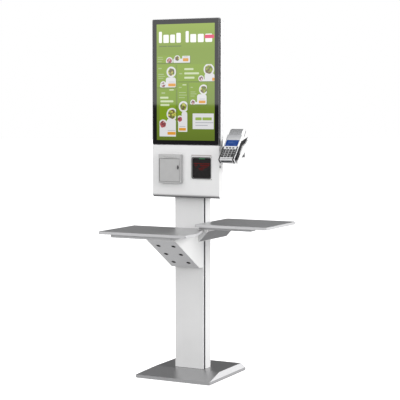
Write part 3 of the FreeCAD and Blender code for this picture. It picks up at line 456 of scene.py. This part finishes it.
background = Shader("picture_background", (0.003, 0.003, 0.003), 0.03, ior=GLASS_IOR)
background.mottled(0.02, 0.2, 0.008)
background.glowing_by_height([
    (1.233, (0.110, 0.165, 0.014)), (1.345, (0.150, 0.225, 0.022)), (1.42, (0.165, 0.250, 0.026)),
    (1.60, (0.215, 0.325, 0.034)), (1.70, (0.215, 0.320, 0.034)), (1.831, (0.280, 0.400, 0.052))])
card_green = Shader("picture_card", (0.003, 0.003, 0.003), 0.03, ior=GLASS_IOR)
card_green.mottled(0.02, 0.2, 0.008)
card_green.glowing_by_height([
    (1.233, (0.190, 0.300, 0.008)), (1.42, (0.190, 0.310, 0.008)), (1.50, (0.205, 0.330, 0.012)),
    (1.66, (0.235, 0.360, 0.030))])
SCREEN_WHITE = screen_light("picture_white", (0.70, 0.70, 0.71)).mat
HEADING_WHITE = screen_light("picture_heading", (0.93, 0.93, 0.90)).mat
FAINT = screen_light("picture_faint_text", (0.36, 0.46, 0.20)).mat
PALE = screen_light("picture_pale_text", (0.58, 0.66, 0.42)).mat
ORANGE = screen_light("picture_orange", (0.68, 0.30, 0.03)).mat
SHADOW = screen_light("picture_shadow", (0.115, 0.185, 0.012)).mat
GREYISH = screen_light("picture_grey_text", (0.40, 0.41, 0.44)).mat
GREENS = [(0.10, 0.17, 0.02), (0.30, 0.36, 0.04), (0.22, 0.26, 0.05)]
SALAD = leafy("picture_salad", 1.0, GREENS, [(0.52, 0.50, 0.10), (0.16, 0.10, 0.05)], 0.009)
BERRIES = leafy("picture_berries", 1.0, [(0.42, 0.09, 0.10), (0.10, 0.12, 0.14)],
                [(0.55, 0.30, 0.28), (0.60, 0.62, 0.60), (0.20, 0.05, 0.06)], 0.009)

picture("screen_background", background.mat, [outline_rect(0, 336, 0, 598)])
CARDS = [(1, 195, 399, 437), (1, 113, 273, 390), (124, 335, 303, 390), (16, 113, 19, 264),
         (124, 180, 44, 296), (191, 291, 185, 296)]
picture("screen_card_shadows", SHADOW, [outline_rect(a + 1, min(b + 3, 335.5), c - 4, d - 2, 1)
                                        for a, b, c, d in CARDS])
picture("screen_cards", card_green.mat, [outline_rect(*card) for card in CARDS])
plate_white, salads, berries = [], [], []
for card, cx, cz, outer, inner, kind in (
        (0, 121, 421, 17, 12, "s"), (0, 75, 409, 20, 14, "b"), (1, 86, 352, 28, 19, "s"),
        (1, 39, 287, 18, 12, "b"), (2, 303, 363, 30, 22, "s"), (2, 259, 317, 16, 11, "b"),
        (3, 90, 135, 32, 24, "s"), (3, 37, 82, 25, 18, "b"), (4, 157, 174, 28, 19, "s"),
        (4, 136, 109, 19, 13, "b"), (5, 273, 261, 26, 18, "s"), (5, 212, 195, 15, 10, "b")):
    plate_white.append(outline_disc(cx, cz, outer, CARDS[card]))
    (salads if kind == "s" else berries).append(
        outline_disc(cx, cz, inner, CARDS[card], wobble=0.05))
WHITE_BLOCKS = [
    outline_rect(98, 195, 399, 420, 4), outline_rect(150, 195, 399, 434, 2),
    outline_rect(54, 112.6, 273, 324, 12), outline_rect(19, 112.6, 273, 288, 8),
    outline_rect(279, 335, 303, 343, 12), outline_rect(252, 335, 303, 313, 4),
    outline_rect(16, 112.6, 19, 66, 2), outline_rect(58, 112.6, 19, 110, 14),
    outline_rect(126, 179, 44, 98, 3), outline_rect(146, 179, 44, 148, 12),
    outline_rect(236, 290, 186, 237, 12), outline_rect(196, 290, 186, 197, 4),
    outline_rect(210, 331, 59, 139, 1)]
picture("screen_white_blocks", SCREEN_WHITE, WHITE_BLOCKS + plate_white)
picture("screen_salads", SALAD, salads)
picture("screen_berries", BERRIES, berries)
picture("screen_buttons", ORANGE, [outline_rect(*b, 3) for b in (
    (154, 186, 406, 422), (68, 111, 278, 293), (322, 335, 305, 321), (63, 111, 28, 43),
    (130, 171, 50, 64), (246, 284, 191, 205))])
picture("screen_pale_text", PALE, [outline_rect(*b, 3) for b in (
    (162, 215, 361, 371), (162, 247, 339, 349), (162, 221, 317, 327), (20, 69, 215, 225),
    (22, 98, 196, 206), (22, 75, 177, 187), (74, 101, 257, 263), (151, 174, 283, 288))])
picture("screen_faint_text", FAINT, [outline_rect(*b, 1.5) for b in (
    (7, 36, 426, 430), (7, 39, 416, 420), (7, 30, 404, 408), (10, 30, 368, 374), (10, 42, 338, 343),
    (10, 51, 328, 332), (10, 40, 318, 322), (133, 150, 340, 346), (28, 50, 240, 248), (130, 147, 270, 275),
    (130, 172, 244, 248), (130, 176, 231, 235), (130, 165, 218, 222), (198, 212, 270, 275),
    (198, 226, 247, 251), (198, 233, 237, 241), (198, 222, 226, 230))])
picture("screen_grey_text", GREYISH, [outline_rect(*b, 1) for b in (
    (64, 109, 49, 52), (158, 184, 427, 430), (72, 106, 299, 302), (134, 168, 70, 73), (250, 282, 211, 214),
    (225, 329, 90, 94), (226, 297, 76, 80))])
picture("screen_lime_text", screen_light("picture_lime", (0.30, 0.42, 0.08)).mat,
        [outline_rect(226, 262, 104, 119, 3), outline_rect(267, 320, 104, 119, 3)])
picture("screen_heading", HEADING_WHITE, [outline_rect(a, b, 502, top, 5) for a, b, top in (
    (14, 32, 560), (40, 72, 544), (80, 108, 544), (116, 142, 552), (170, 188, 560), (197, 231, 544),
    (240, 274, 544), (283, 322, 544))])
picture("screen_subheading", screen_light("picture_dark_text", (0.13, 0.19, 0.05)).mat,
        [outline_rect(14, 60, 482, 487, 2), outline_rect(64, 145, 482, 487, 2)])
picture("screen_ribbon", screen_light("picture_ribbon", (0.72, 0.06, 0.15)).mat,
        [outline_rect(279, 333, 521, 539, 4)])

# ------------------------------------------------------------------ printer and scanner details
STRIP_X, STRIP_HALF = -82.25, 39.0
bm = bmesh.new()
rows = [(-84.0, 1144.3), (-88.2, 1144.0), (-90.2, 1143.2), (-91.2, 1141.6)]
columns = 40
grid = []
for r, (y, z) in enumerate(rows):
    line = []
    for c in range(columns + 1):
        x = STRIP_X - STRIP_HALF + 2 * STRIP_HALF * c / columns
        tear = 0.5 * (c % 2) if r == len(rows) - 1 else 0
        line.append(bm.verts.new(kiosk_point(x, y + tear * 0.3, z + tear)))
    grid.append(line)
for upper, lower in zip(grid, grid[1:]):
    for c in range(columns):
        bm.faces.new((upper[c], upper[c + 1], lower[c + 1], lower[c]))
strip = mesh_object("receipt_strip", bm, MATS["paper"], "kiosk", True)
strip.modifiers.new("paper_thickness", "SOLIDIFY").thickness = 0.0001

LAMP_GREEN = Shader("scanner_green_lamp", (0.01, 0.05, 0.02), 0.3).mottled(0.003, 0.2)
LAMP_GREEN.glowing((0.012, 0.11, 0.035), 1.0)
LAMP_RED = Shader("scanner_red_light", (0.02, 0.004, 0.004), 0.08).mottled(0.004, 0.2)
LAMP_RED.glowing((0.075, 0.004, 0.004), 1.0)
bm = bmesh.new()
arc = []
for i in range(13):
    angle = math.radians(180 - 180 * i / 12)
    arc.append((91.5 + 18 * math.cos(angle), 1137.5 + 8.5 * math.sin(angle)))
add_plate(bm, arc, kiosk_point, -58.6, -58.1)
mesh_object("scanner_ready_lamp", bm, LAMP_GREEN.mat, "kiosk")
bm = bmesh.new()
for x0, x1, z0, z1 in ((44, 96, 1112, 1117), (99, 140, 1112, 1117), (48, 66, 1103, 1108),
                       (80, 134, 1102, 1109), (84, 124, 1095, 1099), (70, 108, 1088, 1092),
                       (76, 100, 1081, 1085), (52, 60, 1095, 1098)):
    add_plate(bm, outline_rect(x0, x1, z0, z1, 1.8), kiosk_point, -58.3, -58.1)
mesh_object("scanner_aiming_light", bm, LAMP_RED.mat, "kiosk")
RING_DARK = Shader("scanner_ring_dark", (0.13, 0.13, 0.131), 0.4).eased(0.0005).mottled(0.01, 0.08).mat
bm = bmesh.new()
add_ring(bm, outline_rect(33.9, 148.9, 1034.7, 1148.0, 10.6, 8),
         outline_rect(39.5, 143.5, 1040, 1142.5, 8, 8),
         kiosk_point, -64.0, -58.1)
mesh_object("scanner_inner_ring", bm, RING_DARK, "kiosk")
# painted shade: a grey strip above the scanner window stands in for the shade along the top of its frame
bm = bmesh.new()
add_plate(bm, outline_rect(34, 150, 1153.5, 1160, 3, 6), kiosk_point, -66.9, -65.9)
HOOD_SHADE_STRIP = Shader("scanner_strip_painted_shade", (0.50, 0.46, 0.46), 0.45).mottled(0.01, 0.05)
mesh_object("scanner_top_strip", bm, HOOD_SHADE_STRIP.grained(0.0006, 0.00002).mat, "kiosk")


# ------------------------------------------------------------------ screws
def add_screw(bm, centre, outward, radius, height):
    """A button head screw with a hexagon socket; it stands on centre and points outward."""
    turn = Vector((0, 0, 1)).rotation_difference(Vector(outward)).to_matrix().to_4x4()
    place = Matrix.Translation(centre) @ turn
    segments = 18
    profile = [(1.0, 0.0), (1.0, 0.25), (0.93, 0.55), (0.78, 0.83), (0.55, 1.0), (0.50, 1.0)]
    rings = []
    for r, h in profile:
        rings.append([bm.verts.new(place @ Vector((radius * r * math.cos(2 * math.pi * i / segments),
                                                   radius * r * math.sin(2 * math.pi * i / segments),
                                                   height * h))) for i in range(segments)])
    for lower, upper in zip(rings, rings[1:]):
        for i in range(segments):
            j = (i + 1) % segments
            bm.faces.new((lower[i], lower[j], upper[j], upper[i]))
    socket = []
    for depth in (1.0, 0.45):
        ring = []
        for i in range(segments):
            angle = 2 * math.pi * i / segments
            flat = 0.38 / math.cos((angle % (math.pi / 3)) - math.pi / 6)
            ring.append(bm.verts.new(place @ Vector((radius * flat * math.cos(angle),
                                                     radius * flat * math.sin(angle), height * depth))))
        socket.append(ring)
    for lower, upper in ((rings[-1], socket[0]), (socket[0], socket[1])):
        for i in range(segments):
            j = (i + 1) % segments
            bm.faces.new((lower[i], lower[j], upper[j], upper[i]))
    bm.faces.new(socket[1])


def screws(name, places, radius=3.2, height=1.6, body="kiosk", material="zinc_steel"):
    bm = bmesh.new()
    for centre, outward in places:
        add_screw(bm, Vector(centre) * MM, outward, radius * MM, height * MM)
    return mesh_object(name, bm, MATS[material], body, True)


BACK = (0, 1, 0)
screws("service_box_screws", [((x, 61, z), BACK) for x in (-141, 141) for z in (950, 1210, 1466)])
screws("rear_shell_screws", [((x, -21, z), BACK) for x in (-180, 180) for z in (1225, 1500, 1650, 1828)]
       + [((x, -21, 1828), BACK) for x in (-60, 60)])

# vents of the front bracket: a near black sheet behind each hole, painted shade for the dark inside
VENT_LEAN = math.radians(31.54)
# painted shade: near black sheets sit behind the vent holes
VENT_SHADE_SHEET = Shader("vent_painted_shade", (0.008, 0.008, 0.008), 0.8).mottled(0.002, 0.3)


def bracket_point(x, depth, along):
    """A point on the bracket cover's slope, from its lower rear edge; depth goes inwards."""
    y = -65 - along * math.cos(VENT_LEAN) + depth * math.sin(VENT_LEAN)
    z = 574 + along * math.sin(VENT_LEAN) + depth * math.cos(VENT_LEAN)
    return kiosk_point(x, y, z)


bm = bmesh.new()
for vent_x in (-43, 43):
    for vent_along in (59.2, 155.2, 251.2):
        add_plate(bm, outline_disc(vent_x, vent_along, 10.5), bracket_point, 2.9, 3.4)
mesh_object("bracket_vent_shade_sheet", bm, VENT_SHADE_SHEET.grained(0.0012, 0.0003).mat, "kiosk")
bm = bmesh.new()
for vent_x in (-43, 43):
    for vent_along in (59.2, 155.2, 251.2):
        add_ring(bm, outline_disc(vent_x, vent_along, 11.4), outline_disc(vent_x, vent_along, 8.6),
                 bracket_point, -0.6, 0.2)
        add_ring(bm, outline_disc(vent_x, vent_along, 8.9), outline_disc(vent_x, vent_along, 8.5),
                 bracket_point, -0.5, 2.9)
mesh_object("bracket_vent_grommets", bm, MATS["roller_rubber"], "kiosk")

# ------------------------------------------------------------------ terminal stand
# a dark sheet closes the stand's cable window from the inside, on both cheeks: painted shade for the stand's
# dark interior
WINDOW_SHADOW_SHEET = Shader("stand_window_painted_shade", (0.10, 0.10, 0.103), 0.6).mottled(0.004, 0.1)
bm = bmesh.new()
for side in (-1, 1):
    near = 262 + side * 46.8
    corners = [(-56, 1147), (-5, 1147), (-5, 1179)]
    add_plate(bm, corners, lambda y, x, z: kiosk_point(x, y, z), near, near - side * 0.6)
mesh_object("stand_window_painted_shade", bm, WINDOW_SHADOW_SHEET.grained(0.0008, 0.00005).mat, "terminal")

# ------------------------------------------------------------------ payment terminal details
def on_terminal(name, material, shapes, near, far, body="terminal"):
    bm = bmesh.new()
    for points in shapes:
        add_plate(bm, points, terminal_point, near, far)
    return mesh_object(name, bm, material, body)


TERMINAL_TEXT = Shader("terminal_screen_text", (0.003, 0.004, 0.008), 0.05).mottled(0.01, 0.1, 0.01)
TERMINAL_TEXT.glowing((0.05, 0.13, 0.36), 1.0)
on_terminal("terminal_screen_text", TERMINAL_TEXT.mat, [outline_rect(*b, 0.8) for b in (
    (-30, 30, 116, 118), (-24, 4, 108, 110), (-24, 18, 102, 104), (12, 26, 87, 90), (-28, -14, 87, 90))],
    0.36, 0.41)
DEPTH_AXIS = TERMINAL_TURN.to_3x3() @ Vector((0, 1, 0))
ALONG_AXIS = TERMINAL_TURN.to_3x3() @ Vector((0, 0, 1))


def terminal_level(axis, amount):
    """Where a plane lies along an axis of the terminal, as a distance from the row's origin."""
    return TERMINAL.dot(axis) + amount * MM


def along_mask(made, start, stop):
    """0 to 1 as the distance along the terminal goes from start to stop, in mm from its lower end."""
    return made.axis_mask(ALONG_AXIS, terminal_level(ALONG_AXIS, start), terminal_level(ALONG_AXIS, stop))


def beside(made, side, start, stop):
    """0 to 1 as the distance to one side of the terminal's middle goes from start to stop, in mm."""
    middle = side * TERMINAL.x
    return made.axis_mask((side, 0, 0), middle + start * MM, middle + stop * MM)


# top shell: pale silver, a painted highlight near white along its right edge, a black margin either side of the
# keys, a dark line round the lower end
silver = Shader("terminal_silver_shell", (0.66, 0.665, 0.675), 0.32, 0.1).eased(0.0006)
silver.mottled(0.02, 0.04, 0.05)
silver.painted(along_mask(silver, 78, 84), (0.50, 0.505, 0.515), 0.32)
silver.painted(along_mask(silver, 126, 160), (0.33, 0.335, 0.345), 0.32)
# painted highlight: a near white band along the right edge above the keys
silver.painted(silver.both(beside(silver, 1, 38.0, 39.5), along_mask(silver, 80, 84)),
               (0.84, 0.84, 0.845), 0.3)
near_keys = along_mask(silver, 80, 76)
for side in (-1, 1):
    margin = silver.both(beside(silver, side, 34.6, 35.0), beside(silver, side, 42.8, 42.2))
    silver.painted(silver.both(margin, near_keys), (0.012, 0.012, 0.014), 0.4)
silver.painted(silver.both(along_mask(silver, 3.0, 2.4), along_mask(silver, -0.6, 0.0)),
               (0.03, 0.03, 0.032), 0.4)
NODES["terminal_top_shell"].data.materials[0] = silver.grained(0.0005, 0.00001).mat
# paper cover: grey across its flat, darker at the hinge, with painted highlights near white on the rounded
# shoulders
cover = Shader("terminal_cover_paint", (0.25, 0.255, 0.26), 0.28, 0.2).eased(0.0008)
cover.mottled(0.02, 0.04, 0.05)
cover.painted(along_mask(cover, 176, 158), (0.33, 0.335, 0.345), 0.28)
cover.painted(along_mask(cover, 188, 199), (0.06, 0.06, 0.063), 0.3)
# painted highlights on the rounded shoulders, brighter on the right
cover.painted(beside(cover, 1, 33.0, 34.5), (0.86, 0.86, 0.865), 0.3, 0.0)
cover.painted(beside(cover, -1, 37.0, 39.5), (0.62, 0.62, 0.625), 0.3, 0.0)
NODES["terminal_paper_cover"].data.materials[0] = cover.grained(0.0005, 0.00001).mat
# the lower shell is black below a line that falls back towards the top end, and silver above it, painted near
# white there as a painted highlight on the side
SPLIT_LEAN = math.radians(33)
split_axis = DEPTH_AXIS * math.cos(SPLIT_LEAN) - ALONG_AXIS * math.sin(SPLIT_LEAN)
split_point = terminal_point(0, 20, 140).dot(split_axis)
# painted highlight: the silver part's colour is near white
lower = Shader("terminal_lower_shell", (0.86, 0.86, 0.865), 0.32).eased(0.0006)
lower.mottled(0.02, 0.04, 0.05)
lower.painted(lower.axis_mask(split_axis, split_point - 0.0004, split_point + 0.0004),
              (0.016, 0.016, 0.018), 0.38, 0.0)
NODES["terminal_base_shell"].data.materials[0] = lower.grained(0.0005, 0.00001).mat
# a black plastic mouth round the card slot, drawn larger than the slot so that it also stands as painted shade
# round it
BAND = Shader("terminal_band", (0.05, 0.052, 0.058), 0.22).mottled(0.01, 0.08, 0.03)
bm = bmesh.new()
add_plate(bm, outline_rect(-31.5, 31.5, 8.5, 20.5, 3),
          lambda x, along, depth: terminal_point(x, depth, along),
          -8.3, -7.9)
mesh_object("terminal_card_mouth", bm, BAND.mat, "terminal")

KEY_MIDDLE_DEPTH, LEGEND_DEPTH = 1.8, -2.04
LEGEND = Shader("key_legend_print", (0.40, 0.41, 0.42), 0.5).mottled(0.002, 0.05).mat
for digit in "1234567890":
    low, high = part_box("key_" + digit)
    curve = bpy.data.curves.new("legend_" + digit, "FONT")
    curve.body = digit
    curve.size = 0.0075
    curve.align_x = "CENTER"
    curve.align_y = "CENTER"
    curve.extrude = 0.00004
    legend = bpy.data.objects.new("legend_" + digit, curve)
    SCENE.collection.objects.link(legend)
    curve.materials.append(LEGEND)
    middle = (low + high) / 2
    along = (middle - terminal_point(0, KEY_MIDDLE_DEPTH, 0)).dot(ALONG_AXIS)
    spot = terminal_point((middle.x - TERMINAL.x) / MM, LEGEND_DEPTH, along / MM)
    legend.matrix_world = Matrix.Translation(spot) @ TERMINAL_TURN @ Matrix.Rotation(math.radians(90), 4, "X")
    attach(legend, "button_" + digit)

# ------------------------------------------------------------------ floor, light and camera
floor_shader = Shader("studio_floor", (0.86, 0.86, 0.86), 0.9)
floor_shader.mottled(0.6, 0.004, 0.01)
floor_shader.glowing((1.0, 1.0, 1.0), 0.55)
bm = bmesh.new()
bmesh.ops.create_circle(bm, cap_ends=True, radius=45.0, segments=96)
mesh = bpy.data.meshes.new("studio_floor")
bm.to_mesh(mesh)
bm.free()
mesh.materials.append(floor_shader.mat)
floor = bpy.data.objects.new("studio_floor", mesh)
floor.location.z = -0.0005
SCENE.collection.objects.link(floor)
floor.visible_glossy = False
floor.visible_diffuse = False

bm = bmesh.new()
bmesh.ops.create_uvsphere(bm, u_segments=48, v_segments=24, radius=44.0)
mesh = bpy.data.meshes.new("studio_backdrop")
bm.to_mesh(mesh)
bm.free()
backdrop_mat = bpy.data.materials.new("studio_white")
backdrop_mat.use_nodes = True
tree = backdrop_mat.node_tree
tree.nodes.clear()
glow = tree.nodes.new("ShaderNodeEmission")
glow.inputs["Color"].default_value = (1, 1, 1, 1)
out = tree.nodes.new("ShaderNodeOutputMaterial")
tree.links.new(glow.outputs["Emission"], out.inputs["Surface"])
mesh.materials.append(backdrop_mat)
backdrop = bpy.data.objects.new("studio_backdrop", mesh)
SCENE.collection.objects.link(backdrop)
for ray in ("visible_diffuse", "visible_glossy", "visible_transmission", "visible_shadow",
            "visible_volume_scatter"):
    setattr(backdrop, ray, False)

world = bpy.data.worlds.new("studio_world")
SCENE.world = world
world.use_nodes = True
tree = world.node_tree
tree.nodes.clear()
coords = tree.nodes.new("ShaderNodeTexCoord")
split = tree.nodes.new("ShaderNodeSeparateXYZ")
ramp = tree.nodes.new("ShaderNodeValToRGB")
span = tree.nodes.new("ShaderNodeMapRange")
span.inputs["From Min"].default_value = -1
span.inputs["From Max"].default_value = 1
shade = tree.nodes.new("ShaderNodeBackground")
out = tree.nodes.new("ShaderNodeOutputWorld")
tree.links.new(coords.outputs["Generated"], split.inputs["Vector"])
tree.links.new(split.outputs["Z"], span.inputs["Value"])
tree.links.new(span.outputs["Result"], ramp.inputs["Fac"])
SKY = [(-1.0, 0.85), (-0.6, 0.8), (-0.35, 0.5), (-0.12, 0.25), (-0.003, 0.14), (0.003, 0.2),
       (0.15, 0.25), (0.28, 0.55), (0.42, 1.0), (0.60, 1.15), (1.0, 1.25)]
elements = ramp.color_ramp.elements
while len(elements) < len(SKY):
    elements.new(0.5)
for element, (height, level) in zip(elements, SKY):
    element.position = (height + 1) / 2
    element.color = (level, level, level * 1.01, 1)
# the quarter behind the kiosk on its left is dark, as an unlit part of a studio would be
aim = tree.nodes.new("ShaderNodeVectorMath")
aim.operation = "DOT_PRODUCT"
aim.inputs[1].default_value = (-0.45, 0.86, 0.24)
dim = tree.nodes.new("ShaderNodeMapRange")
for key, value in (("From Min", 0.80), ("From Max", 0.93), ("To Min", 1.0), ("To Max", 0.10)):
    dim.inputs[key].default_value = value
product = tree.nodes.new("ShaderNodeVectorMath")
product.operation = "SCALE"
tree.links.new(coords.outputs["Generated"], aim.inputs[0])
tree.links.new(aim.outputs["Value"], dim.inputs["Value"])
tree.links.new(ramp.outputs["Color"], product.inputs[0])
tree.links.new(dim.outputs["Result"], product.inputs["Scale"])
tree.links.new(product.outputs["Vector"], shade.inputs["Color"])
shade.inputs["Strength"].default_value = 1.0
tree.links.new(shade.outputs["Background"], out.inputs["Surface"])


def softbox(name, place, target, width, height, power, glossy=True):
    light = bpy.data.lights.new(name, "AREA")
    light.shape = "RECTANGLE"
    light.size = width
    light.size_y = height
    light.energy = power
    obj = bpy.data.objects.new(name, light)
    obj.location = place
    obj.rotation_euler = (Vector(target) - Vector(place)).to_track_quat("-Z", "Y").to_euler()
    SCENE.collection.objects.link(obj)
    obj.visible_camera = False
    obj.visible_glossy = glossy
    return obj


def mirror_panel(name, x0, x1, y, z0, z1, radiance):
    """An upright white card that polished faces mirror; it gives no light of its own to matt ones."""
    bm = bmesh.new()
    corners = [bm.verts.new(p) for p in ((x0, y, z0), (x1, y, z0), (x1, y, z1), (x0, y, z1))]
    bm.faces.new(corners)
    mesh = bpy.data.meshes.new(name)
    bm.to_mesh(mesh)
    bm.free()
    card = bpy.data.materials.new(name + "_white")
    card.use_nodes = True
    nodes = card.node_tree
    nodes.nodes.clear()
    emit = nodes.nodes.new("ShaderNodeEmission")
    emit.inputs["Strength"].default_value = radiance
    end = nodes.nodes.new("ShaderNodeOutputMaterial")
    nodes.links.new(emit.outputs["Emission"], end.inputs["Surface"])
    mesh.materials.append(card)
    obj = bpy.data.objects.new(name, mesh)
    SCENE.collection.objects.link(obj)
    for ray in ("visible_camera", "visible_diffuse", "visible_shadow", "visible_transmission"):
        setattr(obj, ray, False)
    return obj


mirror_panel("front_left_card", -7.5, -1.0, -6.5, 1.405, 6.0, 1.75)
softbox("key_light", (5.0, -0.6, 2.0), (0, 0, 1.0), 3.0, 3.0, 190, False)
softbox("fill_light", (-2.2, -5.6, 2.0), (0, 0, 1.1), 3.2, 2.8, 74, False)
softbox("top_light", (0, 0.6, 4.6), (0, 0, 0.8), 3.0, 3.0, 20, False)

YAW, PITCH = math.radians(26.954), math.radians(4.326)
camera_data = bpy.data.cameras.new("photo_view")
camera_data.sensor_width = 36.0
camera_data.lens = 115.66
camera_data.clip_end = 200.0
camera = bpy.data.objects.new("photo_view", camera_data)
camera.location = (3.0752, -5.9474, 1.4265)
look = Vector((-math.sin(YAW) * math.cos(PITCH), math.cos(YAW) * math.cos(PITCH), -math.sin(PITCH)))
camera.rotation_euler = look.to_track_quat("-Z", "Y").to_euler()
SCENE.collection.objects.link(camera)
SCENE.camera = camera
bpy.context.scene.camera = camera
SCENE.view_settings.view_transform = "Standard"
